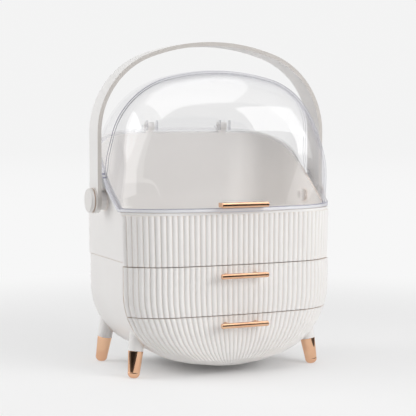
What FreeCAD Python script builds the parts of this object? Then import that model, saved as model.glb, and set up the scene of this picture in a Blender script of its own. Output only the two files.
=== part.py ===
"""Vanity box: white case on copper feet, two fluted drawers, clear flip lid and folding handle."""

import FreeCAD, Part
import math
import os

from FreeCAD import Vector

# All lengths are millimetres and all angles degrees.
# While modelling, X runs right, Y back from the middle between the feet, Z up from the floor.

# Case outline
case_half_width = 125.0
case_front_y = -62.5
case_rear_y = 61.0
case_wall = 2.5
rear_corner_radius = 15.0
seam_corner_radius = 10.0
rim_corner_radius = 14.0
rear_rim_corner_radius = 45.0
seam_ease = 0.5
hull_bottom_z = 8.0
hull_straight_z = 95.0
hull_split_deg = 16.0
seam_z = 128.7
side_draft_share = 0.0274

# Bowed fluted fronts
front_apex_y = -97.0
front_end_deg = 57.0
front_split_deg = 6.0
flute_count = 43
flute_depth = 1.6
front_skin = 3.2
front_land = 3.9
seam_gap = 0.8
upper_seam_z = 124.7
lower_seam_z = 69.4

# Upper tray and its slanting rim
tray_floor = 3.0
tray_corner_radius = 42.0
band_bottom_z = 180.3
rim_z = 183.6
rim_corner_y = -59.0
rim_rear_z = 269.0

# Shelf, drawers and their running clearances
shelf_thickness = 3.0
ledge_width = 5.0
ledge_height = 2.5
shelf_fit = 0.15
drawer_clearance = 0.5
drawer_rest_gap = 0.3
drawer_front_gap = 1.6
drawer_wall = 2.0
drawer_floor = 2.5
drawer_back_gap = 3.0
middle_tray_top_z = 118.0
bottom_tray_top_z = 64.0
bowl_bottom_z = 9.2

# Feet and leg stubs
foot_inset = 14.1
foot_x = case_half_width - foot_inset
foot_y = 55.5
foot_splay_x_deg = 8.0
foot_splay_y_deg = 6.0
foot_height = 29.5
foot_top_radius = 8.5
foot_tip_radius = 6.8
foot_pad_radius = 2.0
foot_round = 6.0
leg_length = 34.0
spigot_radius = 5.0
spigot_length = 17.0
spigot_fit = 0.05

# Clear lid
lid_wall = 2.4
lid_overhang = 4.5
lid_half_width = case_half_width + lid_overhang
crease_y = -9.8
fan_z = 200.0
crown_z = 339.3
fan_base = 6.0
fan_base_inner = 3.0
visor_power = 3.4
rear_power = 2.6
rear_bulge_share = 1.07
lid_seat_gap = 0.4
lip_out = 3.6
lip_height = 3.4
lip_rear_y = 46.0
tab_half_width = 25.0
tab_drop = 1.0
tab_height = 13.0
tab_thickness = 3.0
tab_gap = 0.7

# Sections of the lid, each in a plane turned about the crease line.
# Rows: turn from upright, shoulder width share, shoulder reach share, end turn, split turn.
visor_section_shares = (
    (0.0, 0.934, 0.49, 80.0, 18.0),
    (-12.0, 0.934, 0.48, 82.0, 15.0),
    (-26.0, 0.936, 0.48, 80.0, 12.0),
    (-48.0, 0.945, 0.60, 66.0, 12.0),
    (-80.0, 0.967, 0.60, 57.0, 12.0),
    (-112.0, 0.972, 0.57, 56.0, 12.0),
)
rear_section_shares = (
    (0.0, 0.934, 0.49, 80.0, 18.0),
    (24.0, 0.945, 0.46, 85.0, 13.0),
    (54.0, 0.985, 0.42, 89.0, 4.0),
)

# Lid hinges
hinge_z = 275.5
hinge_x = 47.0
ear_spacing = 12.5
ear_thickness = 2.0
ear_radius = 5.0
ear_depth = 11.0
lug_gap = 0.3
lug_notch_gap = 0.6
lug_foot = 12.0
pin_radius = 1.5
pin_fit = 0.05
pin_head_radius = 2.6
pin_head = 1.2

# Carrying handle and its pivots
handle_clearance = 10.5
handle_half_width = lid_half_width + handle_clearance
handle_top_z = 371.5
handle_shoulder_z = 270.0
handle_end_deg = 89.0
handle_split_deg = 20.0
handle_thickness = 4.5
handle_width = 29.0
pivot_y = -9.5
pivot_z = 194.0
boss_radius = 11.0
boss_gap = 0.3
boss_pad = 3.0
pad_radius = 6.0
shaft_radius = 4.0
shaft_fit = 0.05
button_radius = 13.65
button_height = 4.0
button_round = 1.6
neck_radius = 11.5
neck_height = 1.2
flange_radius = 14.2
flange_height = 1.8
retainer_width = 11.6
retainer_height = 12.5
retainer_thickness = 4.0

# Bar pulls and their screws
pull_radius = 3.0
pull_length = 56.0
pull_axis_y = -109.0
pull_end_round = 0.8
post_x = 18.0
post_radius = 2.2
web_height = 5.0
pull_seat_depth = 1.2
post_fit = 0.05
lid_pull_z = 191.4
middle_pull_z = 114.0
bottom_pull_z = 59.9
screw_radius = 1.5
screw_depth = 8.0
screw_head_radius = 2.8
screw_head = 1.8
screw_fit = 0.1

# Extra length that lets every cut pass right through
overrun = 12.0


class Bow:
    """A symmetrical arch of one wide crown arc between two tighter corner arcs."""

    def __init__(self, half_width, near, apex, end_deg, split_deg):
        rise = apex - near
        self.apex = apex
        self.end = math.radians(end_deg)
        self.split = math.radians(split_deg)
        corner_across = math.sin(self.end) - math.sin(self.split)
        crown_across = math.sin(self.split)
        corner_along = math.cos(self.split) - math.cos(self.end)
        crown_along = 1 - math.cos(self.split)
        scale = corner_across * crown_along - crown_across * corner_along
        self.corner = (half_width * crown_along - crown_across * rise) / scale
        self.crown = (corner_across * rise - corner_along * half_width) / scale

    def point(self, angle, offset=0):
        """Place on the arch where its normal has turned by angle from the middle."""
        turn = abs(angle)
        across = (self.crown + offset) * math.sin(turn)
        along = (self.crown + offset) * math.cos(turn)
        if turn > self.split:
            spare = self.crown - self.corner
            across = spare * math.sin(self.split) + (self.corner + offset) * math.sin(turn)
            along = spare * math.cos(self.split) + (self.corner + offset) * math.cos(turn)
        return math.copysign(across, angle), self.apex - self.crown + along

    def half_length(self):
        """Length of the arch from its middle to one end."""
        return self.crown * self.split + self.corner * (self.end - self.split)

    def angle_at(self, distance):
        """Turn of the normal at a distance along the arch from its middle."""
        crown_length = self.crown * self.split
        size = abs(distance)
        turn = size / self.crown
        if size > crown_length:
            turn = self.split + (size - crown_length) / self.corner
        return math.copysign(turn, distance)

    def arc(self, start, end, place):
        """One arc of the arch between two turns of its normal."""
        middle = (start + end) / 2
        places = [place(*self.point(turn)) for turn in (start, middle, end)]
        return Part.Arc(*places).toShape()

    def edges(self, place):
        """The arch as three arcs, from the negative side to the positive."""
        turns = (-self.end, -self.split, self.split, self.end)
        return [self.arc(turns[i], turns[i + 1], place) for i in range(len(turns) - 1)]

    def scallops(self, place, count, depth):
        """The arch as a row of small outward arcs, one for each flute."""
        pitch = 2 * self.half_length() / count
        arcs = []
        for index in range(count):
            start = -self.half_length() + index * pitch
            places = []
            for step_share, height in ((0, 0), (0.5, depth), (1, 0)):
                distance = start + step_share * pitch
                places.append(place(*self.point(self.angle_at(distance), height)))
            arcs.append(Part.Arc(*places).toShape())
        return arcs


def closed_wire(edges, corners=()):
    """Wire of edges in a row, closed by straight lines through the given corners."""
    start = edges[0].Vertexes[0].Point
    places = [edges[-1].Vertexes[-1].Point, *corners, start]
    lines = [Part.LineSegment(places[i], places[i + 1]).toShape() for i in range(len(places) - 1)]
    return Part.Wire(list(edges) + lines)


def prism(wire, direction):
    """Solid swept straight from a flat closed wire."""
    return Part.Face(wire).extrude(direction)


def block(x, y, z):
    """Box between pairs of limits along each axis."""
    size = (x[1] - x[0], y[1] - y[0], z[1] - z[0])
    return Part.makeBox(*size, Vector(x[0], y[0], z[0]))


def rod(radius, start, end):
    """Round bar from one place to another."""
    along = end - start
    return Part.makeCylinder(radius, along.Length, start, along)


def side_plate(points, x):
    """Plate of constant thickness along X, cut to a Y-Z outline."""
    wire = Part.makePolygon([Vector(x[0], *point) for point in points + points[:1]])
    return prism(wire, Vector(x[1] - x[0], 0, 0))


# Shared outlines

hull_bow = Bow(case_half_width, 0, hull_straight_z - hull_bottom_z, 90, hull_split_deg)
shelf_z = lower_seam_z - shelf_thickness / 2
rim_slope = (rim_rear_z - rim_z) / (case_rear_y - rim_corner_y)
span = handle_half_width + overrun
drawer_near_y = case_front_y - drawer_front_gap


def upper_half_width(z):
    """Half width of the upper case's outside, which widens a little upwards."""
    return case_half_width + side_draft_share * (z - seam_z)


def hull_half_width(z):
    """Half width of the lower case's outside at a height."""
    if z >= hull_straight_z:
        return case_half_width
    low, high = 0, math.pi / 2
    drop = hull_straight_z - z
    while high - low > math.pi / 2 ** 40:
        turn = (low + high) / 2
        if hull_bow.point(turn)[1] > drop:
            low = turn
        else:
            high = turn
    return hull_bow.point(low)[0]


def hull_prism(inset, y):
    """Lower case's round-bottomed section, drawn in by an inset and swept between two depths."""

    def place(x, down):
        return Vector(x, y[0], hull_straight_z - down)

    bow = Bow(case_half_width - inset, 0, hull_straight_z - hull_bottom_z - inset, 90, hull_split_deg)
    side = case_half_width - inset
    corners = [Vector(side, y[0], seam_z), Vector(-side, y[0], seam_z)]
    return prism(closed_wire(bow.edges(place), corners), Vector(0, y[1] - y[0], 0))


def rear_rounded(solid, y, radius):
    """Round the edge that runs down the sides and under the bottom at the rear."""
    edges = []
    for edge in solid.Edges:
        at_rear = all(abs(vertex.Y - y) < shelf_fit for vertex in edge.Vertexes)
        on_top = all(abs(vertex.Z - seam_z) < shelf_fit for vertex in edge.Vertexes)
        if at_rear and not on_top:
            edges.append(edge)
    return solid.makeFillet(radius, edges)


def front_bow(half_width, near_y, apex_y):
    """Plan of a bowed front, measured forwards."""
    return Bow(half_width, -near_y, -apex_y, front_end_deg, front_split_deg)


def plan_place(z):
    """Turns a front bow's plan into places at one height."""
    return lambda x, forward: Vector(x, -forward, z)


def rear_radius(z):
    """Radius of the upper case's rear corners, which opens out towards the slanting rim."""
    low, high = (seam_z, seam_corner_radius), (rim_z, rim_corner_radius)
    if z > rim_z:
        low, high = high, (rim_rear_z, rear_rim_corner_radius)
    return low[1] + (high[1] - low[1]) * (z - low[0]) / (high[0] - low[0])


def case_plan(z, radius, inset, bow_inset, apex_inset):
    """Closed plan of the upper case at a height, drawn in from its outside, with its rear corners' radius."""
    side = upper_half_width(z) - inset
    near = case_front_y + inset
    rear = case_rear_y - inset
    bow = front_bow(upper_half_width(z) - bow_inset, near, front_apex_y + apex_inset)
    slant = radius * math.sqrt(0.5)
    right = [Vector(side, near, z), Vector(side, rear - radius, z)]
    turn = Vector(side - radius + slant, rear - radius + slant, z)
    rear_right = Vector(side - radius, rear, z)
    flip = lambda place: Vector(-place.x, place.y, z)
    edges = bow.edges(plan_place(z))
    edges.append(Part.LineSegment(edges[-1].Vertexes[-1].Point, right[0]).toShape())
    edges.append(Part.LineSegment(*right).toShape())
    edges.append(Part.Arc(right[1], turn, rear_right).toShape())
    edges.append(Part.LineSegment(rear_right, flip(rear_right)).toShape())
    edges.append(Part.Arc(flip(rear_right), flip(turn), flip(right[1])).toShape())
    edges.append(Part.LineSegment(flip(right[1]), flip(right[0])).toShape())
    edges.append(Part.LineSegment(flip(right[0]), edges[0].Vertexes[0].Point).toShape())
    return Part.Wire(edges)


def above_rim(lift, thickness=None):
    """Everything above the slanting rim, or a band of a given thickness along it."""
    far = front_apex_y - overrun - lip_out
    back = case_rear_y + overrun
    back_z = rim_z + rim_slope * (back - rim_corner_y)
    points = [(far, rim_z + lift), (rim_corner_y, rim_z + lift), (back, back_z + lift)]
    if thickness is None:
        top = handle_top_z + overrun
        points += [(back, top), (far, top)]
    else:
        rise = thickness / math.cos(math.atan(rim_slope))
        corner = rim_corner_y - (rise - thickness) / rim_slope
        points += [(back, back_z + lift + rise), (corner, rim_z + lift + thickness)]
        points.append((far, rim_z + lift + thickness))
    return side_plate(points, (-span, span))


# Case

def leg_axis(side, depth):
    """Foot's place on the floor and the direction of its leg."""
    lean_x = -side * math.tan(math.radians(foot_splay_x_deg))
    lean_y = -depth * math.tan(math.radians(foot_splay_y_deg))
    direction = Vector(lean_x, lean_y, 1).normalize()
    return Vector(side * foot_x, depth * foot_y, 0), direction


def lower_case():
    """Shell with a round bottom, leg stubs and ledges for the shelf."""
    shell = hull_prism(0, (case_front_y, case_rear_y))
    shell = rear_rounded(shell, case_rear_y, rear_corner_radius)
    for side in (-1, 1):
        for depth in (-1, 1):
            base, direction = leg_axis(side, depth)
            stub_end = base + direction * (foot_height + leg_length)
            shell = shell.fuse(rod(foot_top_radius, base + direction * foot_height, stub_end))
    inner_rear = case_rear_y - case_wall
    hollow = hull_prism(case_wall, (case_front_y - overrun, inner_rear))
    shell = shell.cut(rear_rounded(hollow, inner_rear, rear_corner_radius - case_wall))
    ledge_y = (case_front_y, inner_rear - rear_corner_radius)
    ledge = hull_prism(case_wall / 2, ledge_y).cut(hull_prism(case_wall + ledge_width, ledge_y))
    shell = shell.fuse(ledge.common(block((-span, span), ledge_y, (shelf_z - ledge_height, shelf_z))))
    for side in (-1, 1):
        for depth in (-1, 1):
            base, direction = leg_axis(side, depth)
            tip = base + direction * (foot_height - spigot_length + spigot_fit)
            shell = shell.fuse(rod(spigot_radius, tip, base + direction * (foot_height + overrun / 2)))
    return shell.removeSplitter()


def foot(side, depth):
    """Hollow plated foot, flat where it stands."""
    base, direction = leg_axis(side, depth)
    sink = -foot_pad_radius * math.tan(math.radians(foot_splay_x_deg))
    round_at = foot_round * math.sqrt(0.5)
    points = [Vector(0, 0, sink), Vector(foot_pad_radius, 0, sink)]
    knee = Vector(foot_tip_radius, 0, sink + foot_round)
    bulge = Vector(foot_pad_radius + (foot_tip_radius - foot_pad_radius) * math.sqrt(0.5), 0,
                   sink + foot_round - round_at)
    top = [Vector(foot_top_radius, 0, foot_height), Vector(0, 0, foot_height)]
    edges = [Part.LineSegment(*points).toShape(), Part.Arc(points[1], bulge, knee).toShape()]
    edges.append(Part.LineSegment(knee, top[0]).toShape())
    edges.append(Part.LineSegment(*top).toShape())
    edges.append(Part.LineSegment(top[1], points[0]).toShape())
    body = Part.Face(Part.Wire(edges)).revolve(Vector(0, 0, 0), Vector(0, 0, 1), 360)
    socket_floor = Vector(0, 0, foot_height - spigot_length)
    socket_top = Vector(0, 0, foot_height + overrun)
    body = body.cut(rod(spigot_radius + spigot_fit, socket_floor, socket_top))
    body.Placement = FreeCAD.Placement(base, FreeCAD.Rotation(Vector(0, 0, 1), direction))
    below = block((-span, span), (-span, span), (-overrun, 0))
    return body.cut(below)


def drawer_shelf():
    """Shelf between the drawers, lying on the ledges."""
    y = (case_front_y, case_rear_y - rear_corner_radius - case_wall)
    slab = block((-span, span), y, (shelf_z, shelf_z + shelf_thickness))
    return hull_prism(case_wall + shelf_fit, y).common(slab)


def hinge_lug(side):
    """Lug on the rear wall that holds a hinge pin between the lid's ears."""
    half = ear_spacing / 2 - ear_thickness / 2 - lug_gap
    x = (side * hinge_x - half, side * hinge_x + half)
    low = hinge_z - ear_radius - lug_foot
    inside = case_rear_y - case_wall
    points = [(inside, low), (case_rear_y, low), (case_rear_y + ear_radius, low + ear_radius)]
    points += [(case_rear_y + ear_radius, hinge_z), (inside, hinge_z)]
    pivot = Vector(x[0], case_rear_y, hinge_z)
    knuckle = Part.makeCylinder(ear_radius, x[1] - x[0], pivot, Vector(1, 0, 0))
    return side_plate(points, x).fuse(knuckle)


def pin_bore(side, radius):
    """Straight bore through one hinge."""
    reach = ear_spacing / 2 + ear_thickness
    middle = side * hinge_x
    start = Vector(middle - reach, case_rear_y, hinge_z)
    return rod(radius, start, Vector(middle + reach, case_rear_y, hinge_z))


boss_face_x = handle_half_width - handle_thickness - boss_gap
pad_face_x = upper_half_width(pivot_z) - case_wall - boss_pad


def upper_case():
    """Open tray with the slanting rim, hinge lugs and pivot bosses."""
    top_z = rim_rear_z + overrun
    outer = [case_plan(seam_z, rear_radius(seam_z) - seam_ease, seam_ease, front_land, front_skin)]
    for z in (seam_z + seam_ease, rim_z, top_z):
        outer.append(case_plan(z, rear_radius(z), 0, front_land, front_skin))
    tray = Part.makeLoft(outer, True, True)
    inner = []
    for z in (seam_z + tray_floor, top_z + overrun):
        skin = front_skin + case_wall
        inner.append(case_plan(z, tray_corner_radius, case_wall, front_land + case_wall, skin))
    hollow = Part.makeLoft(inner, True, True)
    tray = tray.fuse(front_band()).cut(hollow).cut(above_rim(0))
    for side in (-1, 1):
        start = Vector(side * pad_face_x, pivot_y, pivot_z)
        middle = Vector(side * (pad_face_x + boss_pad + case_wall / 2), pivot_y, pivot_z)
        tray = tray.fuse(rod(pad_radius, start, middle))
        tray = tray.fuse(rod(boss_radius, middle, Vector(side * boss_face_x, pivot_y, pivot_z)))
        tray = tray.fuse(hinge_lug(side))
    for side in (-1, 1):
        tray = tray.cut(pin_bore(side, pin_radius))
    shaft = shaft_radius + shaft_fit
    bore = rod(shaft, Vector(-span, pivot_y, pivot_z), Vector(span, pivot_y, pivot_z))
    return tray.cut(bore).removeSplitter()


def front_band():
    """Smooth band above the flutes, level with their crests."""
    wires = []
    for z in (band_bottom_z, rim_z + overrun):
        bow = front_bow(upper_half_width(z), case_front_y, front_apex_y)
        wires.append(closed_wire(bow.edges(plan_place(z))))
    return Part.makeLoft(wires, True, True)


def fluted_solid(levels):
    """Bowed block with a fluted face, lofted through plan sections with a flat back."""
    wires = []
    for z, half_width, near_y, apex_y in levels:
        bow = front_bow(half_width, near_y, apex_y + flute_depth)
        depth = flute_depth * half_width / case_half_width
        wires.append(closed_wire(bow.scallops(plan_place(z), flute_count, depth)))
    return Part.makeLoft(wires, True, True)


def plain_solid(levels):
    """Bowed block with a smooth face, lofted through plan sections with a flat back."""
    wires = []
    for z, half_width, near_y, apex_y in levels:
        wires.append(closed_wire(front_bow(half_width, near_y, apex_y).edges(plan_place(z))))
    return Part.makeLoft(wires, True, True)


def upper_front():
    """Fluted skin over the upper tray's front wall."""
    low = upper_seam_z + seam_gap / 2
    outer, inner = [], []
    for z in (low, band_bottom_z):
        outer.append((z, upper_half_width(z), case_front_y, front_apex_y))
    for z in (low - overrun, band_bottom_z + overrun):
        inner.append((z, upper_half_width(z) - front_land, case_front_y, front_apex_y + front_skin))
    return fluted_solid(outer).cut(plain_solid(inner))


def hinge_pin(side):
    """Headed pin through one hinge."""
    half = ear_spacing / 2 + ear_thickness / 2 + lug_gap
    middle = side * hinge_x
    start = Vector(middle - half, case_rear_y, hinge_z)
    end = Vector(middle + half, case_rear_y, hinge_z)
    pin = rod(pin_radius, start, end)
    for place, way in ((start, -1), (end, 1)):
        pin = pin.fuse(rod(pin_head_radius, place, place + Vector(way * pin_head, 0, 0)))
    return pin


# Lid

def fan_reach(turn, rear):
    """Distance from the crease line to the lid's middle in a plane turned from upright."""
    across = rear_bulge_share * (case_rear_y - crease_y) if rear else crease_y - front_apex_y
    power = rear_power if rear else visor_power
    level = (abs(math.sin(turn)) / across) ** power + (abs(math.cos(turn)) / (crown_z - fan_z)) ** power
    return level ** (-1 / power)


def fan_wire(row, rear, inset, base):
    """Arched section of the lid in a plane that turns about the crease line."""
    turn_deg, width_share, shoulder_share, end_deg, split_deg = row
    turn = math.radians(turn_deg)
    reach = fan_reach(turn, rear)
    shoulder = shoulder_share * reach
    half_width = width_share * lid_half_width - inset

    def place(x, out):
        return Vector(x, crease_y + out * math.sin(turn), fan_z + out * math.cos(turn))

    bow = Bow(half_width, shoulder, reach - inset, end_deg, split_deg)
    edges = bow.edges(place)
    corners = [place(lid_half_width - inset, base), place(inset - lid_half_width, base)]
    return closed_wire(edges, corners)


def dome(inset, base):
    """Lid's outer form down past its rim, drawn in by an inset."""
    front = Part.makeLoft([fan_wire(row, False, inset, base) for row in visor_section_shares], True, False)
    rear = Part.makeLoft([fan_wire(row, True, inset, base) for row in rear_section_shares], True, False)
    return front.fuse(rear)


def hinge_ears():
    """Four ears that reach back from the lid to the hinge pins."""
    ears = []
    for side in (-1, 1):
        for step in (-1, 1):
            middle = side * hinge_x + step * ear_spacing / 2
            x = (middle - ear_thickness / 2, middle + ear_thickness / 2)
            front = case_rear_y - ear_depth
            low = hinge_z - ear_radius
            points = [(front, low), (case_rear_y, low), (case_rear_y, hinge_z + ear_radius)]
            points.append((front, hinge_z + ear_radius + lip_height / 2))
            pivot = Vector(x[0], case_rear_y, hinge_z)
            eye = Part.makeCylinder(ear_radius, ear_thickness, pivot, Vector(1, 0, 0))
            ears.append(side_plate(points, x).fuse(eye))
    return ears


def hinge_notches(side):
    """Room in the lid for one hinge's lug and for the heads of its pin."""
    half = ear_spacing / 2 - ear_thickness / 2
    middle = side * hinge_x
    reach = ear_radius + lug_notch_gap
    x = (middle - half, middle + half)
    y = (case_rear_y - case_wall - lug_notch_gap, case_rear_y + reach)
    notches = [rod(reach, Vector(x[0], case_rear_y, hinge_z), Vector(x[1], case_rear_y, hinge_z))]
    notches.append(block(x, y, (hinge_z - reach - lug_foot, hinge_z)))
    outer = ear_spacing / 2 + ear_thickness / 2
    head_room = Vector(2 * lug_gap + pin_head, 0, 0)
    for way in (-1, 1):
        start = Vector(middle + way * outer, case_rear_y, hinge_z)
        notches.append(rod(pin_head_radius + lug_gap, start, start + head_room * way))
    return notches


def front_tab():
    """Clear tab on the front rim that carries the lid's pull."""
    low = rim_z + lid_seat_gap - tab_drop
    z = (low, low + tab_height)
    near = case_front_y
    inside, outside = [], []
    for level in z:
        width = upper_half_width(level)
        inside.append((level, width + tab_gap, near, front_apex_y - tab_gap))
        grow = tab_gap + tab_thickness
        outside.append((level, width + grow, near, front_apex_y - grow))
    limits = block((-tab_half_width, tab_half_width), (-span, near), z)
    return plain_solid(outside).cut(plain_solid(inside)).common(limits)


def lid():
    """Clear domed shell with its lip, ears and front tab."""
    shell = dome(0, fan_base).cut(dome(lid_wall, fan_base_inner)).common(above_rim(lid_seat_gap))
    lip = dome(-lip_out, fan_base).cut(dome(lid_wall / 2, fan_base_inner))
    lip = lip.common(above_rim(lid_seat_gap, lip_height))
    lip = lip.common(block((-span, span), (-span, lip_rear_y), (0, handle_top_z)))
    shell = shell.fuse(lip).fuse(front_tab())
    shell = shell.fuse(hinge_ears())
    for side in (-1, 1):
        shell = shell.cut(hinge_notches(side)).cut(pin_bore(side, pin_radius + pin_fit))
    shell = shell.cut(web_block(post_fit, lid_post_seat_y))
    return cut_for_pull(shell, lid_pull_z, lid_post_seat_y, lid_head_seat_y).removeSplitter()


# Pulls

def bow_y_at(x):
    """Depth of the fluted fronts' base at a place across the box."""
    bow = front_bow(case_half_width, drawer_near_y, front_apex_y + flute_depth)
    return -bow.point(math.asin(x / bow.crown))[1]


post_seat_y = bow_y_at(post_x) + pull_seat_depth
head_seat_y = post_seat_y + front_skin - pull_seat_depth - screw_head / 2
lid_post_seat_y = front_apex_y - tab_gap - tab_thickness + 2 * pull_seat_depth
lid_head_seat_y = front_apex_y + lid_wall + screw_head / 2


def pull_bar(z):
    """Round bar with eased ends."""
    half = pull_length / 2
    bar = rod(pull_radius, Vector(-half, pull_axis_y, z), Vector(half, pull_axis_y, z))
    ends = [edge for edge in bar.Edges if abs(abs(edge.CenterOfMass.x) - half) < post_fit]
    return bar.makeFillet(pull_end_round, ends)


def bored_for_screws(bar, z, seat_y):
    """Screw holes in the back of a pull."""
    for x in (-post_x, post_x):
        place = Vector(x, seat_y, z)
        bar = bar.cut(rod(screw_radius, place + Vector(0, overrun, 0), place - Vector(0, screw_depth, 0)))
    return bar


def drawer_pull(z):
    """Round bar on two posts that sink into a drawer's front."""
    bar = pull_bar(z)
    for x in (-post_x, post_x):
        bar = bar.fuse(rod(post_radius, Vector(x, pull_axis_y, z), Vector(x, post_seat_y, z)))
    return bored_for_screws(bar, z, post_seat_y)


def web_block(grow, seat_y):
    """Flat web behind the lid's bar, grown a little for its pocket."""
    half = pull_length / 2 - pull_end_round + grow
    z = (lid_pull_z - web_height / 2 - grow, lid_pull_z + web_height / 2 + grow)
    return block((-half, half), (pull_axis_y, seat_y), z)


def lid_pull():
    """Round bar with a flat web that sinks into the lid's front tab."""
    bar = pull_bar(lid_pull_z).fuse(web_block(0, lid_post_seat_y))
    return bored_for_screws(bar, lid_pull_z, lid_post_seat_y)


def cut_for_pull(panel, z, seat_y, inner_y):
    """Sink a pull's posts and its screw heads into a panel."""
    for x in (-post_x, post_x):
        inside = Vector(x, inner_y + overrun, z)
        seat = Vector(x, seat_y, z)
        head = Vector(x, inner_y, z)
        panel = panel.cut(rod(post_radius + post_fit, Vector(x, pull_axis_y, z), seat))
        panel = panel.cut(rod(screw_radius + screw_fit, seat, inside))
        panel = panel.cut(rod(screw_head_radius + screw_fit, head, inside))
    return panel


def pull_screws(z, seat_y, inner_y):
    """The two screws that hold a pull from inside."""
    screws = []
    for x in (-post_x, post_x):
        tip = Vector(x, seat_y - screw_depth + screw_fit, z)
        head = Vector(x, inner_y, z)
        shank = rod(screw_radius - screw_fit / 2, tip, head)
        screws.append(shank.fuse(rod(screw_head_radius, head, head + Vector(0, screw_head, 0))))
    return Part.makeCompound(screws)


# Drawers

# Bottom drawer's front: share of its height down from the top, share of its full bow.
bowl_level_shares = (
    (0, 1.0),
    (0.28, 0.99),
    (0.5, 0.95),
    (0.7, 0.87),
    (0.85, 0.75),
    (0.94, 0.57),
    (1.0, 0.36),
)


def middle_levels(inset, low, high):
    """Plan sections of the middle drawer's front, drawn in by an inset."""
    levels = []
    for z in (low, (low + hull_straight_z) / 2, hull_straight_z, high):
        levels.append((z, hull_half_width(z) - 2 * inset, drawer_near_y, front_apex_y + inset))
    return levels


def bowl_levels(inset, high):
    """Plan sections of the bottom drawer's front, which draws in towards its bottom."""
    low = bowl_bottom_z + inset
    levels = []
    for drop_share, apex_share in bowl_level_shares:
        z = high - drop_share * (high - low)
        reach = drawer_near_y - front_apex_y
        apex = drawer_near_y - apex_share * reach + inset
        levels.append((z, hull_half_width(z) - 2 * inset, drawer_near_y, apex))
    return levels


def drawer_front(outer, inner, pull_z):
    """Fluted drawer front with a pocket behind it."""
    front = fluted_solid(outer).cut(plain_solid(inner))
    return cut_for_pull(front, pull_z, post_seat_y, head_seat_y)


def middle_drawer_front():
    """Front of the middle drawer."""
    low = lower_seam_z + seam_gap / 2
    high = upper_seam_z - seam_gap / 2
    outer = middle_levels(0, low, high)
    inner = middle_levels(front_skin, low + drawer_floor, high + overrun)
    return drawer_front(outer, inner, middle_pull_z)


def bottom_drawer_front():
    """Bowl-shaped front of the bottom drawer."""
    high = lower_seam_z - seam_gap / 2
    outer = bowl_levels(0, high)
    inner = bowl_levels(front_skin, high)
    inner.insert(0, (high + overrun, *inner[0][1:]))
    return drawer_front(outer, inner, bottom_pull_z)


def drawer_tray(low, high):
    """Trough behind a drawer's front, following the case's inside."""
    rear = case_rear_y - case_wall - drawer_back_gap
    gap = case_wall + drawer_clearance
    y = (drawer_near_y, rear)
    trough = rear_rounded(hull_prism(gap, y), rear, rear_corner_radius - gap)
    trough = trough.common(block((-span, span), y, (low, high)))
    wall = gap + drawer_wall
    inner_y = (drawer_near_y - overrun, rear - drawer_wall)
    hollow = rear_rounded(hull_prism(wall, inner_y), inner_y[1], rear_corner_radius - wall)
    floor_z = max(low, hull_bottom_z + gap) + drawer_floor
    hollow = hollow.common(block((-span, span), (-span, span), (floor_z, high + overrun)))
    return trough.cut(hollow)


# Handle

def handle_outline(inset, y):
    """Closed front view of the handle's arch down to its pivots."""

    def place(x, up):
        return Vector(x, y, up)

    half_width = handle_half_width - inset
    bow = Bow(half_width, handle_shoulder_z, handle_top_z - inset, handle_end_deg, handle_split_deg)
    low = pivot_z - handle_width
    return closed_wire(bow.edges(place), [Vector(half_width, y, low), Vector(-half_width, y, low)])


def handle():
    """Flat arched band with rounded lower ends."""
    half = handle_width / 2
    sweep = Vector(0, handle_width, 0)
    low = pivot_y - half
    band = prism(handle_outline(0, low), sweep).cut(prism(handle_outline(handle_thickness, low), sweep))
    side = block((-span, span), (low, low + handle_width), (pivot_z, handle_top_z))
    ends = rod(half, Vector(-span, pivot_y, pivot_z), Vector(span, pivot_y, pivot_z))
    band = band.common(side.fuse(ends))
    shaft = shaft_radius + shaft_fit
    bore = rod(shaft, Vector(-span, pivot_y, pivot_z), Vector(span, pivot_y, pivot_z))
    return band.cut(bore).removeSplitter()


def pivot_button(side):
    """Round button on a pivot shaft."""
    inner = pad_face_x - boss_gap - retainer_thickness
    places = [Vector(side * inner, pivot_y, pivot_z)]
    for reach in (0, flange_height, flange_height + neck_height, flange_height + neck_height + button_height):
        places.append(Vector(side * (handle_half_width + reach), pivot_y, pivot_z))
    outer = places[-1]
    head = rod(button_radius, places[-2], outer)
    rim = [edge for edge in head.Edges if abs(edge.CenterOfMass.x - outer.x) < boss_gap and edge.Closed]
    head = head.makeFillet(button_round, rim[:1])
    for step, radius in enumerate((shaft_radius, flange_radius, neck_radius)):
        head = head.fuse(rod(radius, places[step], places[step + 1]))
    return head


def pivot_retainer(side):
    """Clip on the inner end of a pivot shaft."""
    x = sorted((side * (pad_face_x - boss_gap), side * (pad_face_x - boss_gap - retainer_thickness)))
    y = (pivot_y - retainer_width / 2, pivot_y + retainer_width / 2)
    z = (pivot_z - retainer_height / 2, pivot_z + retainer_height / 2)
    bore = rod(shaft_radius + shaft_fit, Vector(x[0] - overrun, pivot_y, pivot_z),
               Vector(x[1] + overrun, pivot_y, pivot_z))
    return block(x, y, z).cut(bore)


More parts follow.
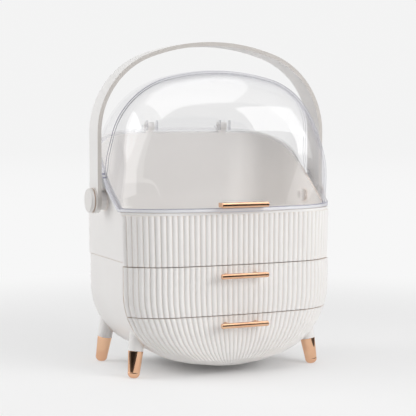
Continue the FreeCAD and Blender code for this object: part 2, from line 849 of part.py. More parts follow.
def build_nodes():
    """Every piece of the box under its name."""
    nodes = {
        "lower_case": lower_case(),
        "drawer_shelf": drawer_shelf(),
        "upper_case": upper_case(),
        "upper_front": upper_front(),
        "lid": lid(),
        "lid_pull": lid_pull(),
        "lid_pull_screws": pull_screws(lid_pull_z, lid_post_seat_y, lid_head_seat_y),
        "handle": handle(),
        "middle_drawer_tray": drawer_tray(shelf_z + shelf_thickness + drawer_rest_gap, middle_tray_top_z),
        "middle_drawer_front": middle_drawer_front(),
        "middle_drawer_pull": drawer_pull(middle_pull_z),
        "middle_drawer_screws": pull_screws(middle_pull_z, post_seat_y, head_seat_y),
        "bottom_drawer_tray": drawer_tray(0, bottom_tray_top_z),
        "bottom_drawer_front": bottom_drawer_front(),
        "bottom_drawer_pull": drawer_pull(bottom_pull_z),
        "bottom_drawer_screws": pull_screws(bottom_pull_z, post_seat_y, head_seat_y),
    }
    for side, side_name in ((-1, "left"), (1, "right")):
        nodes["hinge_pin_" + side_name] = hinge_pin(side)
        nodes["pivot_button_" + side_name] = pivot_button(side)
        nodes["pivot_retainer_" + side_name] = pivot_retainer(side)
        for depth, depth_name in ((-1, "front"), (1, "rear")):
            nodes["foot_" + depth_name + "_" + side_name] = foot(side, depth)
    return nodes


# The stored frame's origin lies on the floor under the middle of the whole box.
front_y = pull_axis_y - pull_radius
rear_y = case_rear_y + ear_radius
centre_y = (front_y + rear_y) / 2

os.makedirs("parts", exist_ok=True)
for name, shape in build_nodes().items():
    shape.translate(Vector(0, -centre_y, 0))
    shape.exportStep("parts/" + name + ".step")
    print(name, "solids", len(shape.Solids), "valid", shape.isValid(), "volume", round(shape.Volume, 1))
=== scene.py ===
"""Looks of the vanity box: satin white plastic, a clear lid, plated pulls and feet, in a pale studio."""

import logging
import math
from dataclasses import dataclass
from enum import Enum
from typing import Mapping, Optional, Sequence, Union

import bpy
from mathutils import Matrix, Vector

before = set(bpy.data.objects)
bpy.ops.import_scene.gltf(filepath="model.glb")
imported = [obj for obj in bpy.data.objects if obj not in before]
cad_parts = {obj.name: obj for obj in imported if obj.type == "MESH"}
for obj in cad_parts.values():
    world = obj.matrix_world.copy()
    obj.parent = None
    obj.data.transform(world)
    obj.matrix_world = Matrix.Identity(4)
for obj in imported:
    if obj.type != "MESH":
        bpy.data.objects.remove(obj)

LOG = logging.getLogger("vanity_box")

Rgb = tuple[float, float, float]
Point = tuple[float, float, float]
Span = tuple[float, float]
Number = Union[int, float]
Value = Union["Sock", Number, Rgb, Sequence[float]]

MIDDLE_OF_NOISE = 0.5
EVEN = (1, 1, 1)


class Side(Enum):
    """The two sides of the box, seen from the front."""

    LEFT = "left"
    RIGHT = "right"


class Level(Enum):
    """The two drawers, by height."""

    MIDDLE = "middle"
    BOTTOM = "bottom"


class Sock:
    """A shader socket that takes part in Python arithmetic."""

    def __init__(self, graph: "Graph", socket: Optional[bpy.types.NodeSocket]) -> None:
        """Keep the socket and the graph that holds it."""
        self.graph = graph
        self.socket = socket

    def _math(self, operation: str, first: Value, second: Value) -> "Sock":
        """Add one Math node.

        Args:
            operation: Math node's operation.
            first: left-hand value.
            second: right-hand value.

        Returns:
            The node's result.
        """
        return self.graph.node("ShaderNodeMath", {"operation": operation}, {0: first, 1: second})

    def __add__(self, other: Value) -> "Sock":
        """Sum."""
        return self._math("ADD", self, other)

    def __radd__(self, other: Value) -> "Sock":
        """Sum with the socket on the right."""
        return self._math("ADD", other, self)

    def __sub__(self, other: Value) -> "Sock":
        """Difference."""
        return self._math("SUBTRACT", self, other)

    def __rsub__(self, other: Value) -> "Sock":
        """Difference with the socket on the right."""
        return self._math("SUBTRACT", other, self)

    def __mul__(self, other: Value) -> "Sock":
        """Product."""
        return self._math("MULTIPLY", self, other)

    def __rmul__(self, other: Value) -> "Sock":
        """Product with the socket on the right."""
        return self._math("MULTIPLY", other, self)

    def __truediv__(self, other: Value) -> "Sock":
        """Quotient."""
        return self._math("DIVIDE", self, other)

    def __rtruediv__(self, other: Value) -> "Sock":
        """Quotient with the socket on the right."""
        return self._math("DIVIDE", other, self)

    def __pow__(self, other: Value) -> "Sock":
        """Power."""
        return self._math("POWER", self, other)

    def magnitude(self) -> "Sock":
        """Size without sign."""
        return self._math("ABSOLUTE", self, 0)

    def most(self, other: Value) -> "Sock":
        """Larger of two values."""
        return self._math("MAXIMUM", self, other)

    def fade(self, low: Number, high: Number) -> "Sock":
        """Smooth step from 0 at low to 1 at high.

        Args:
            low: value where the step starts.
            high: value where the step ends.

        Returns:
            A share from 0 to 1.
        """
        settings = {"interpolation_type": "SMOOTHSTEP"}
        return self.graph.node("ShaderNodeMapRange", settings, {"Value": self, "From Min": low, "From Max": high})


class Graph:
    """Nodes of one material or world."""

    def __init__(self, tree: bpy.types.NodeTree) -> None:
        """Start with an empty tree."""
        self.tree = tree
        self.tree.nodes.clear()

    def node(
        self,
        kind: str,
        settings: Optional[Mapping[str, object]] = None,
        inputs: Optional[Mapping[Union[str, int], Value]] = None,
        output: Union[str, int] = 0,
    ) -> Sock:
        """Add any node.

        Args:
            kind: the node's type name.
            settings: the node's own settings, set first.
            inputs: values or links of its sockets, by name or place.
            output: which of its outputs to give back.

        Returns:
            The chosen output.
        """
        made = self.tree.nodes.new(kind)
        for name, value in (settings or {}).items():
            setattr(made, name, value)
        for name, value in (inputs or {}).items():
            self.feed(made.inputs[name], value)
        return Sock(self, made.outputs[output] if made.outputs else None)

    def feed(self, socket: bpy.types.NodeSocket, value: Value) -> None:
        """Link a socket, or set its own value.

        Args:
            socket: the socket to fill.
            value: another socket, a number, a colour or a vector.
        """
        if isinstance(value, Sock):
            self.tree.links.new(value.socket, socket)
        elif isinstance(value, (int, float)):
            socket.default_value = value
        elif socket.type == "RGBA":
            socket.default_value = (*value[:3], 1)
        else:
            socket.default_value = value

    def place(self) -> Sock:
        """Place on the object in its own frame, in metres."""
        return self.node("ShaderNodeTexCoord", output="Object")

    def axis(self, vector: Sock, name: str) -> Sock:
        """One component of a vector."""
        return self.node("ShaderNodeSeparateXYZ", inputs={0: vector}, output=name)

    def noise(self, vector: Sock, scale: Number, detail: Number = 2, stretch: Sequence[float] = EVEN) -> Sock:
        """Soft random field.

        Args:
            vector: where it is read.
            scale: how many lumps there are in a metre.
            detail: how many finer layers it has.
            stretch: scale along each axis.

        Returns:
            A value around one half.
        """
        if tuple(stretch) != EVEN:
            vector = self.node("ShaderNodeVectorMath", {"operation": "MULTIPLY"}, {0: vector, 1: stretch})
        return self.node("ShaderNodeTexNoise", inputs={"Vector": vector, "Scale": scale, "Detail": detail})

    def blend(self, share: Value, first: Value, second: Value) -> Sock:
        """Mix of two colours.

        Args:
            share: how much of the second colour shows.
            first: colour at share 0.
            second: colour at share 1.

        Returns:
            The mixed colour.
        """
        return self.node("ShaderNodeMix", {"data_type": "RGBA"}, {0: share, 6: first, 7: second}, output=2)

    def eased_normal(self, radius: Number, samples: int = 4) -> Sock:
        """Normal that rounds sharp edges by a radius."""
        return self.node("ShaderNodeBevel", {"samples": samples}, {"Radius": radius})

    def bump(self, height: Sock, depth: Number, normal: Optional[Sock] = None) -> Sock:
        """Small relief.

        Args:
            height: relief from 0 to 1.
            depth: its full height in metres.
            normal: the normal under it.

        Returns:
            The normal with the relief.
        """
        inputs: dict[Union[str, int], Value] = {"Height": height, "Distance": depth, "Strength": 1}
        if normal is not None:
            inputs["Normal"] = normal
        return self.node("ShaderNodeBump", inputs=inputs)

    def seen_rays(self) -> Sock:
        """1 for rays from the camera, from gloss and through glass, and 0 for the rest.

        Returns:
            A share of 0 or 1.
        """
        camera = self.node("ShaderNodeLightPath", output="Is Camera Ray")
        glossy = self.node("ShaderNodeLightPath", output="Is Glossy Ray")
        through = self.node("ShaderNodeLightPath", output="Is Transmission Ray")
        return camera.most(glossy).most(through)

    def mix_shader(self, share: Value, first: Sock, second: Sock) -> Sock:
        """Mix of two shaders."""
        return self.node("ShaderNodeMixShader", inputs={0: share, 1: first, 2: second})

    def surface(self, shader: Sock, kind: str = "ShaderNodeOutputMaterial") -> None:
        """Send a shader to the output."""
        self.node(kind, inputs={"Surface": shader})


class Finish:
    """One finish, made into a material once."""

    name: str

    def paint(self, graph: Graph) -> None:
        """Lay out the nodes of the finish."""
        raise NotImplementedError

    def material(self) -> bpy.types.Material:
        """The finish as a material.

        Returns:
            The material, made on first use.
        """
        found = bpy.data.materials.get(self.name)
        if found is None:
            found = bpy.data.materials.new(self.name)
            found.use_nodes = True
            self.paint(Graph(found.node_tree))
        return found


@dataclass(frozen=True)
class MouldedPlastic(Finish):
    """Satin injection-moulded plastic with a fine grain."""

    name: str
    colour: Rgb
    shade: Rgb
    roughness: float = 0.42
    ior: float = 1.5
    cloud_scale: float = 14.0
    cloud_detail: int = 3
    cloud_weight: float = 0.6
    cloud_roughness: float = 0.10
    flow_detail: int = 2
    flow_stretch: Point = (1, 1, 0.15)
    flow_weight: float = 0.4
    shade_span: Span = (0.3, 0.7)
    grain_scale: float = 2600.0
    grain_detail: int = 1
    grain_depth: float = 0.000004
    grain_roughness: float = 0.08
    edge_radius: float = 0.0006
    # Painted warm shade: ambient occlusion tints grooves, gaps and seams this colour, fading out above a height of
    # 0.215 m.
    crevice_shade: Rgb = (0.90, 0.76, 0.66)
    crevice_shade_reach: float = 0.006
    crevice_shade_samples: int = 6
    crevice_shade_span: Span = (0.05, 0.85)
    crevice_shade_top: Span = (0.215, 0.235)
    # Painted shade: faces turned forward (-Y) get this darker colour, for how the lamps fall on them.
    front: Optional[Rgb] = None
    front_shade_span: Span = (0.6, 0.95)

    def paint(self, graph: Graph) -> None:
        """Cloudy colour, painted warm shade in grooves and gaps, fine grain and eased edges."""
        place = graph.place()
        cloud = graph.noise(place, self.cloud_scale, self.cloud_detail)
        grain = graph.noise(place, self.grain_scale, self.grain_detail)
        rough = (
            self.roughness
            + (cloud - MIDDLE_OF_NOISE) * self.cloud_roughness
            + (grain - MIDDLE_OF_NOISE) * self.grain_roughness
        )
        inputs = {"Base Color": self.tint(graph, place, cloud), "Roughness": rough, "IOR": self.ior}
        if self.grain_depth:
            eased = graph.eased_normal(self.edge_radius) if self.edge_radius else None
            inputs["Normal"] = graph.bump(grain, self.grain_depth, eased)
        graph.surface(graph.node("ShaderNodeBsdfPrincipled", inputs=inputs))

    def tint(self, graph: Graph, place: Sock, cloud: Sock) -> Sock:
        """Colour of the plastic.

        Args:
            graph: the nodes to add to.
            place: place on the piece.
            cloud: slow random field.

        Returns:
            The colour, with painted shade on the faces turned forward and painted warm shade in crevices, where
            the finish has them.
        """
        flow = graph.noise(place, self.cloud_scale, self.flow_detail, self.flow_stretch)
        mixed = (cloud * self.cloud_weight + flow * self.flow_weight).fade(*self.shade_span)
        colour = graph.blend(mixed, self.colour, self.shade)
        # Painted shade: the faces turned forward are darkened, chosen by their normal.
        if self.front:
            normal = graph.node("ShaderNodeTexCoord", output="Normal")
            forward = graph.axis(normal, "Y") * -1
            colour = graph.blend(forward.fade(*self.front_shade_span), colour, self.front)
        # Painted shade: where ambient occlusion finds grooves and gaps, the colour turns to the warm shade colour,
        # only low on the piece.
        if self.crevice_shade_reach:
            settings = {"samples": self.crevice_shade_samples}
            reach = {"Distance": self.crevice_shade_reach}
            bare = graph.node("ShaderNodeAmbientOcclusion", settings, reach, output="AO")
            low = 1 - graph.axis(place, "Z").fade(*self.crevice_shade_top)
            colour = graph.blend((1 - bare.fade(*self.crevice_shade_span)) * low, colour, self.crevice_shade)
        return colour


@dataclass(frozen=True)
class ClearPlastic(Finish):
    """Thin clear moulding: light goes straight through, and gloss and tint grow where it turns away."""

    name: str
    film: Rgb
    edge_film: Rgb
    # Colour of the painted dark lines at the lip, crease, hinge ears and outline, standing in for refraction
    # shade.
    line: Rgb
    # Colour of the painted highlight on the lid's lip.
    lip: Rgb
    rim_z: float
    rim_corner_y: float
    rim_slope: float
    lip_height: float
    lip_rear: Span
    crease_y: float
    crease_half_width: float
    facing_blend: float = 0.5
    tint_power: int = 3
    gloss_power: int = 5
    head_on_gloss: float = 0.035
    edge_gloss: float = 0.55
    roughness: float = 0.012
    lip_roughness: float = 0.15
    line_roughness: float = 0.2
    smear_scale: float = 30.0
    smear_detail: int = 4
    smear_stretch: Point = (1, 1, 0.4)
    smear_span: Span = (0.45, 0.75)
    smear_roughness: float = 0.02
    wave_scale: float = 9.0
    wave_detail: int = 1
    wave_depth: float = 0.0004
    outline_power: int = 6
    outline_share: float = 0.9
    outline_rear: Span = (-0.0168, 0.0032)
    far_x: Span = (0.06, 0.11)
    far_y: Span = (-0.036, -0.026)
    far_line_cut: float = 0.8
    far_lip_cut: float = 0.7
    lip_base: float = 0.2
    lip_gain: float = 0.55
    line_width: float = 0.0005
    top_line_core: float = 0.5
    low_line_core: float = 0.3
    low_line_share: float = 0.5
    line_base: float = 0.06
    line_gain: float = 0.4
    tip_x: Span = (0.112, 0.128)
    tip_share: float = 0.5
    crease_lean_z: float = 0.243
    crease_lean: float = 0.34
    crease_spread: float = 0.03
    crease_core: float = 0.6
    crease_share: float = 0.85
    crease_far_x: Span = (0.05, 0.10)
    crease_far_cut: float = 0.6
    hinge_x: float = 0.047
    ear_x: float = 0.00625
    ear_half: Span = (0.001, 0.0012)
    ear_start_y: Span = (0.072, 0.074)
    ear_end_y: Span = (0.075, 0.076)
    ear_top_z: Span = (0.283, 0.285)
    ear_share: float = 0.3

    def paint(self, graph: Graph) -> None:
        """Clear walls, a painted highlight on the lip between two painted dark lines, and painted dark lines along
        crease, hinge ears and outline, standing in for refraction shade.
        """
        place = graph.place()
        away = graph.node("ShaderNodeLayerWeight", inputs={"Blend": self.facing_blend}, output="Facing")
        clear = self.walls(graph, place, away)
        lip_look = {"Base Color": self.lip, "Roughness": self.lip_roughness}
        line_look = {"Base Color": self.line, "Roughness": self.line_roughness}
        lip = graph.node("ShaderNodeBsdfPrincipled", inputs=lip_look)
        line = graph.node("ShaderNodeBsdfPrincipled", inputs=line_look)
        lip_share, line_share = self.rim(graph, place)
        # Painted dark outline: where the front of the lid turns away, the line colour stands in for refraction
        # shade at its edge.
        fore = 1 - graph.axis(place, "Y").fade(*self.outline_rear)
        outline = away ** self.outline_power * fore * self.outline_share
        line_share = line_share.most(self.crease(graph, place)).most(self.ears(graph, place)).most(outline)
        graph.surface(graph.mix_shader(line_share, graph.mix_shader(lip_share, clear, lip), line))

    def walls(self, graph: Graph, place: Sock, away: Sock) -> Sock:
        """The clear wall itself.

        Args:
            graph: the nodes to add to.
            place: place on the lid.
            away: how far the wall turns away.

        Returns:
            The wall's shader.
        """
        smear = graph.noise(place, self.smear_scale, self.smear_detail, self.smear_stretch).fade(*self.smear_span)
        wave = graph.bump(graph.noise(place, self.wave_scale, self.wave_detail), self.wave_depth)
        inner = graph.node("ShaderNodeBsdfTransparent", inputs={"Color": self.film})
        edge = graph.node("ShaderNodeBsdfTransparent", inputs={"Color": self.edge_film})
        rough = self.roughness + smear * self.smear_roughness
        gloss = graph.node("ShaderNodeBsdfGlossy", inputs={"Color": EVEN, "Roughness": rough, "Normal": wave})
        through = graph.mix_shader(away ** self.tint_power, inner, edge)
        return graph.mix_shader(self.head_on_gloss + away ** self.gloss_power * self.edge_gloss, through, gloss)

    def rim(self, graph: Graph, place: Sock) -> tuple[Sock, Sock]:
        """Where the painted highlight on the lip and its two painted dark lines are.

        Args:
            graph: the nodes to add to.
            place: place on the lid.

        Returns:
            Shares of the lip and of its lines.
        """
        x, y, z = (graph.axis(place, name) for name in "XYZ")
        height = z - self.rim_z - (y - self.rim_corner_y).most(0) * self.rim_slope
        fore = 1 - y.fade(*self.lip_rear)
        far_side = x.fade(*self.far_x) * y.fade(*self.far_y)
        shown = fore * (1 - far_side * self.far_line_cut)
        # Painted highlight: below the lip height the pale lip colour shows, weaker on the far side.
        lip = 1 - height.fade(self.lip_height, self.lip_height + self.line_width)
        rise = (height - self.lip_height).magnitude()
        # Painted dark lines at the top and foot of the lip and a painted dark spot at its right tip, standing in
        # for refraction shade; all are cut back on the far side.
        top_line = 1 - rise.fade(self.line_width * self.top_line_core, self.line_width)
        low_line = 1 - height.fade(self.line_width * self.low_line_core, self.line_width)
        tip = x.fade(*self.tip_x) * (1 - far_side) * lip * self.tip_share
        lines = top_line.most(low_line * self.low_line_share) * (shown * self.line_gain + self.line_base)
        lines = (lines * (1 - far_side * self.far_line_cut)).most(tip)
        return lip * (shown * self.lip_gain + self.lip_base) * (1 - far_side * self.far_lip_cut), lines

    def crease(self, graph: Graph, place: Sock) -> Sock:
        """Where the painted dark line along the crease is: refraction shade at the fold.

        Args:
            graph: the nodes to add to.
            place: place on the lid.

        Returns:
            Share of the painted line, which leans forward higher up.
        """
        x, y, z = (graph.axis(place, name) for name in "XYZ")
        lean = (z - self.crease_lean_z).most(0) * self.crease_lean
        crest = self.crease_half_width + lean * self.crease_spread
        line = 1 - ((y - self.crease_y + lean).magnitude() / crest).fade(self.crease_core, 1)
        return line * (self.crease_share - x.fade(*self.crease_far_x) * self.crease_far_cut)

    def ears(self, graph: Graph, place: Sock) -> Sock:
        """Where the painted dark lines on the front edges of the hinge ears are.

        Args:
            graph: the nodes to add to.
            place: place on the lid.

        Returns:
            Share of the painted dark line on the ears.
        """
        x, y, z = (graph.axis(place, name) for name in "XYZ")
        side = ((x.magnitude() - self.hinge_x).magnitude() - self.ear_x).magnitude()
        ears = (1 - side.fade(*self.ear_half)) * y.fade(*self.ear_start_y)
        ears = ears * (1 - y.fade(*self.ear_end_y)) * (1 - z.fade(*self.ear_top_z))
        return ears * self.ear_share


@dataclass(frozen=True)
class PlatedMetal(Finish):
    """Polished plating with hair-fine scratches."""

    name: str
    colour: Rgb
    deep: Rgb
    roughness: float
    drift_scale: float = 40.0
    drift_detail: int = 2
    drift_span: Span = (0.35, 0.65)
    scratch_scale: float = 900.0
    scratch_detail: int = 2
    scratch_stretch: Point = (0.08, 1, 1)
    scratch_depth: float = 0.000004
    uneven: float = 0.04
    edge_radius: float = 0.0005

    def paint(self, graph: Graph) -> None:
        """Slow colour drift, uneven polish and fine scratches."""
        place = graph.place()
        drift = graph.noise(place, self.drift_scale, self.drift_detail)
        scratch = graph.noise(place, self.scratch_scale, self.scratch_detail, self.scratch_stretch)
        colour = graph.blend(drift.fade(*self.drift_span), self.colour, self.deep)
        rough = (
            self.roughness
            + (drift - MIDDLE_OF_NOISE) * self.uneven
            + (scratch - MIDDLE_OF_NOISE) * self.uneven
        )
        normal = graph.bump(scratch, self.scratch_depth, graph.eased_normal(self.edge_radius))
        inputs = {"Base Color": colour, "Metallic": 1, "Roughness": rough, "Normal": normal}
        graph.surface(graph.node("ShaderNodeBsdfPrincipled", inputs=inputs))


@dataclass(frozen=True)
class StudioFloor(Finish):
    """Pale smooth floor that turns into the plain background away from the object."""

    name: str
    colour: Rgb
    background: Rgb
    horizon: Rgb
    roughness: float = 0.32
    specular: float = 0.0
    shadow_span: Span = (0.03, 0.14)
    plain_span: Span = (0.35, 0.9)
    horizon_span: Span = (2.0, 9.0)
    shadow_weight: float = 0.5
    plain_weight: float = 0.5
    glossy_share: float = 0.5

    def paint(self, graph: Graph) -> None:
        """Lit near the object, plain background colour further out."""
        look = {"Base Color": self.colour, "Roughness": self.roughness, "Specular IOR Level": self.specular}
        lit = graph.node("ShaderNodeBsdfPrincipled", inputs=look)
        away = graph.node("ShaderNodeVectorMath", {"operation": "LENGTH"}, {0: graph.place()}, output="Value")
        ground = graph.blend(away.fade(*self.horizon_span), self.background, self.horizon)
        plain = graph.node("ShaderNodeEmission", inputs={"Color": ground, "Strength": 1})
        share = away.fade(*self.shadow_span) * self.shadow_weight + away.fade(*self.plain_span) * self.plain_weight
        glossy = graph.node("ShaderNodeLightPath", output="Is Glossy Ray")
        mixed = (share * graph.seen_rays()).most(glossy * self.glossy_share)
        graph.surface(graph.mix_shader(mixed, lit, plain))


BACKGROUND: Rgb = (0.93, 0.93, 0.93)
HORIZON: Rgb = (0.90, 0.90, 0.90)
WARM: Rgb = (1.0, 0.95, 0.91)

WHITE = MouldedPlastic("white_satin_plastic", (0.84, 0.825, 0.81), (0.82, 0.80, 0.785))
HANDLE = MouldedPlastic(
    "handle_satin_plastic",
    (0.82, 0.81, 0.80),
    (0.80, 0.785, 0.77),
    roughness=0.46,
    edge_radius=0,
    grain_depth=0,
    crevice_shade_reach=0,
    # Painted shade on the handle's forward faces.
    front=(0.58, 0.55, 0.52),
)
PIVOT = MouldedPlastic("pivot_satin_plastic", (0.76, 0.745, 0.725), (0.74, 0.72, 0.70), roughness=0.46)
COPPER = PlatedMetal("rose_copper_plating", (0.84, 0.53, 0.345), (0.80, 0.47, 0.30), roughness=0.035)
STEEL = PlatedMetal("plain_steel", (0.62, 0.62, 0.63), (0.55, 0.55, 0.56), roughness=0.28)
# Black sheets seen only in reflections, for dark reflections on the metal and the lid.
DARK_REFLECTOR = MouldedPlastic(
    "dark_reflector_sheet", (0.02, 0.02, 0.02), (0.015, 0.015, 0.015), roughness=0.9, edge_radius=0, crevice_shade_reach=0
)
CLEAR = ClearPlastic(
    "clear_lid_plastic",
    film=(0.995, 0.995, 0.996),
    edge_film=(0.94, 0.94, 0.945),
    line=(0.20, 0.20, 0.30),
    lip=(0.90, 0.90, 0.93),
    rim_z=0.184,
    rim_corner_y=-0.036,
    rim_slope=0.7117,
    lip_height=0.0034,
    lip_rear=(0.065, 0.073),
    crease_y=0.0132,
    crease_half_width=0.0013,
)
FLOOR = StudioFloor("pale_floor", (0.90, 0.90, 0.90), BACKGROUND, HORIZON)


def dress(nodes: Sequence[str], finish: Finish) -> None:
    """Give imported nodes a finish.

    Args:
        nodes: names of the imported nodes.
        finish: the finish they get.
    """
    for name in nodes:
        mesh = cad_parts[name].data
        mesh.materials.clear()
        mesh.materials.append(finish.material())
        LOG.info("%s: %s", name, finish.name)


@dataclass
class Case:
    """The standing case with its fluted upper front, shelf and feet."""

    shells: Sequence[str] = ("lower_case", "drawer_shelf", "upper_case", "upper_front")
    ends: Sequence[str] = ("front", "rear")

    def build(self) -> None:
        """Finish the case's pieces."""
        dress(self.shells, WHITE)
        dress([f"foot_{end}_{side.value}" for end in self.ends for side in Side], COPPER)
        dress([f"hinge_pin_{side.value}" for side in Side], CLEAR)


@dataclass
class Lid:
    """The clear lid with its pull."""

    shell: str = "lid"
    bar: str = "lid_pull"
    screws: str = "lid_pull_screws"

    def build(self) -> None:
        """Finish the lid's pieces."""
        dress((self.shell,), CLEAR)
        dress((self.bar,), COPPER)
        dress((self.screws,), STEEL)


@dataclass
class Handle:
    """The folding handle with its pivots."""

    band: str = "handle"

    def build(self) -> None:
        """Finish the handle's pieces."""
        dress((self.band,), HANDLE)
        for side in Side:
            dress((f"pivot_button_{side.value}",), PIVOT)
            dress((f"pivot_retainer_{side.value}",), WHITE)


@dataclass
class Drawer:
    """One drawer: tray, fluted front, pull and screws."""

    level: Level

    def build(self) -> None:
        """Finish the drawer's pieces."""
        name = f"{self.level.value}_drawer"
        dress((f"{name}_tray", f"{name}_front"), WHITE)
        dress((f"{name}_pull",), COPPER)
        dress((f"{name}_screws",), STEEL)


@dataclass
class SoftBox:
    """One rectangular studio lamp, aimed at a point, that the camera itself doesn't see."""

    name: str
    direction: Point
    distance: float
    width: float
    height: float
    radiance: float
    target: Point = (0.0, 0.0, 0.2)
    mirrored: bool = True
    lights: bool = True
    colour: Rgb = (1.0, 1.0, 1.0)
    only: Sequence[str] = ()

    def build(self) -> None:
        """Place the lamp, for all pieces or only for those that it names."""
        data = bpy.data.lights.new(self.name, "AREA")
        data.shape = "RECTANGLE"
        data.size = self.width
        data.size_y = self.height
        data.energy = self.radiance * math.pi * self.width * self.height
        data.color = self.colour
        lamp = bpy.data.objects.new(self.name, data)
        towards = Vector(self.direction).normalized()
        lamp.location = Vector(self.target) + towards * self.distance
        lamp.rotation_mode = "QUATERNION"
        lamp.rotation_quaternion = (-towards).to_track_quat("-Z", "Y")
        lamp.visible_camera = False
        lamp.visible_glossy = self.mirrored
        lamp.visible_diffuse = self.lights
        if self.only:
            shown = bpy.data.collections.new(self.name)
            for node in self.only:
                shown.objects.link(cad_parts[node])
            lamp.light_linking.receiver_collection = shown
        bpy.context.scene.collection.objects.link(lamp)
        LOG.info("lamp %s", self.name)


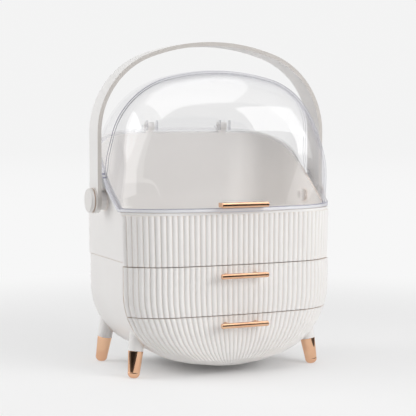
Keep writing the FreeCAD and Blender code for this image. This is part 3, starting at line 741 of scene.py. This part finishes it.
@dataclass
class Studio:
    """Floor, background, lamps and camera."""

    floor_half: float = 12.0
    floor_drop: float = 0.0002
    ambient: float = 0.15
    camera_place: Point = (-0.6013, -1.3697, 0.2919)
    camera_towards: Point = (0.3969, 0.9149, -0.0731)
    camera_reach: float = 50.0
    lens: float = 113.05
    sensor: float = 36.0
    clear_layers: int = 32
    reflector_turns_deg: tuple[int, int, int] = (-118, 113, 10)
    reflector_radii: Span = (0.36, 1.2)
    reflector_heights: Span = (0.0005, 0.09)
    card_half: float = 2.2
    card_y: float = -2.2
    card_height: float = 2.5
    lid: Sequence[str] = ("lid",)
    tray: Sequence[str] = ("upper_case", "pivot_retainer_left", "pivot_retainer_right")

    def build(self) -> None:
        """Make the whole studio."""
        self.floor()
        self.world()
        self.camera()
        self.dark_surround()
        for lamp in (*self.boxes(), *self.lid_strips(), *self.tray_fills()):
            lamp.build()
        bpy.context.scene.view_settings.view_transform = "Standard"
        bpy.context.scene.cycles.transparent_max_bounces = self.clear_layers

    def boxes(self) -> Sequence[SoftBox]:
        """Lamps that light the whole box.

        Returns:
            The lamps above, behind, to the right and in front.
        """
        return (
            SoftBox("top_box", (0, 0, 1), 1.5, width=2.0, height=2.5, radiance=1.25, target=(-0.12, -0.35, 0.3)),
            SoftBox("rear_left_box", (-0.87, 0.40, 0.25), 1.5, width=1.0, height=1.25, radiance=2.75),
            SoftBox("right_box", (0.66, -0.635, 0.40), 2.0, width=1.15, height=0.85, radiance=2.2),
            SoftBox("front_box", (0.45, -0.85, 0.28), 2.0, width=1.0, height=1.2, radiance=4.65, mirrored=False),
        )

    def lid_strips(self) -> Sequence[SoftBox]:
        """Lamps that only the lid's gloss shows.

        Returns:
            The strips to the left, to the right and in front.
        """
        shine = {"lights": False, "only": self.lid}
        return (
            SoftBox("left_strip", (-0.97, -0.20, 0.23), 1.0, width=0.67, height=0.85, radiance=1.6, **shine),
            SoftBox("right_strip", (0.819, -0.574, 0.168), 1.1, width=0.39, height=0.27, radiance=2.2, **shine),
            SoftBox("centre_strip", (0.375, -0.927, 0.09), 1.1, width=0.11, height=0.14, radiance=0.2, **shine),
        )

    def tray_fills(self) -> Sequence[SoftBox]:
        """Small warm lamps for the walls of the tray.

        Returns:
            The fills of the right wall and of the rear wall.
        """
        side, rear = (0.12, -0.01, 0.185), (-0.05, 0.08, 0.195)
        fill = {"mirrored": False, "colour": WARM, "only": self.tray}
        return (
            SoftBox("tray_side_fill", (-1, 0, 0.25), 0.075, 0.08, 0.06, radiance=1.7, target=side, **fill),
            SoftBox("tray_rear_fill", (0, -1, 0.25), 0.13, 0.14, 0.05, radiance=0.2, target=rear, **fill),
        )

    def sheet(
        self, name: str, corners: Sequence[Sequence[float]], faces: Sequence[Sequence[int]], finish: Finish
    ) -> bpy.types.Object:
        """One flat piece of the studio.

        Args:
            name: the sheet's name.
            corners: its points.
            faces: its faces, by point.
            finish: its finish.

        Returns:
            The sheet.
        """
        mesh = bpy.data.meshes.new(name)
        mesh.from_pydata(corners, [], faces)
        mesh.materials.append(finish.material())
        made = bpy.data.objects.new(name, mesh)
        bpy.context.scene.collection.objects.link(made)
        return made

    def floor(self) -> None:
        """Flat floor under the object."""
        half = self.floor_half
        corners = [(-half, -half, 0), (half, -half, 0), (half, half, 0), (-half, half, 0)]
        self.sheet("studio_floor", corners, [(0, 1, 2, 3)], FLOOR).location.z = -self.floor_drop

    def dark_surround(self) -> None:
        """Dark sheets that only reflections see, round the front and low round the sides, and a dark card in
        front: they put dark reflections on the metal and the lid.
        """
        turns = [math.radians(turn) for turn in range(*self.reflector_turns_deg)]
        (near, far), (low, high) = self.reflector_radii, self.reflector_heights
        rows = ((near, low), (far, low), (far, high))
        corners = [(radius * math.sin(t), -radius * math.cos(t), height) for radius, height in rows for t in turns]
        count = len(turns)
        starts = [row * count + i for row in range(len(rows) - 1) for i in range(count - 1)]
        faces = [(start, start + 1, start + count + 1, start + count) for start in starts]
        self.card("dark_surround", corners, faces)
        half, y, top = self.card_half, self.card_y, self.card_height
        corners = [(-half, y, 0), (half, y, 0), (half, y, top), (-half, y, top)]
        self.card("dark_card", corners, [(0, 1, 2, 3)])

    def card(self, name: str, corners: Sequence[Sequence[float]], faces: Sequence[Sequence[int]]) -> None:
        """Dark sheet that only gloss shows.

        Args:
            name: the sheet's name.
            corners: its points.
            faces: its faces, by point.
        """
        made = self.sheet(name, corners, faces, DARK_REFLECTOR)
        made.visible_camera = False
        made.visible_diffuse = False
        made.visible_shadow = False
        made.visible_transmission = False

    def world(self) -> None:
        """Plain pale surroundings."""
        world = bpy.data.worlds.new("studio")
        bpy.context.scene.world = world
        world.use_nodes = True
        graph = Graph(world.node_tree)
        ambient = graph.node("ShaderNodeBackground", inputs={"Color": EVEN, "Strength": self.ambient})
        plain = graph.node("ShaderNodeBackground", inputs={"Color": HORIZON, "Strength": 1})
        graph.surface(graph.mix_shader(graph.seen_rays(), ambient, plain), "ShaderNodeOutputWorld")

    def camera(self) -> None:
        """Camera at the photograph's viewing angle."""
        data = bpy.data.cameras.new("camera")
        data.lens = self.lens
        data.sensor_width = self.sensor
        data.clip_end = self.camera_reach
        camera = bpy.data.objects.new("camera", data)
        camera.location = self.camera_place
        camera.rotation_mode = "QUATERNION"
        camera.rotation_quaternion = Vector(self.camera_towards).to_track_quat("-Z", "Y")
        bpy.context.scene.collection.objects.link(camera)
        bpy.context.scene.camera = camera


def main() -> None:
    """Dress every piece and set up the studio."""
    logging.basicConfig(level=logging.INFO, format="%(message)s")
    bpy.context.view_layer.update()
    Case().build()
    Lid().build()
    Handle().build()
    for level in Level:
        Drawer(level).build()
    Studio().build()


if __name__ == "__main__":
    main()
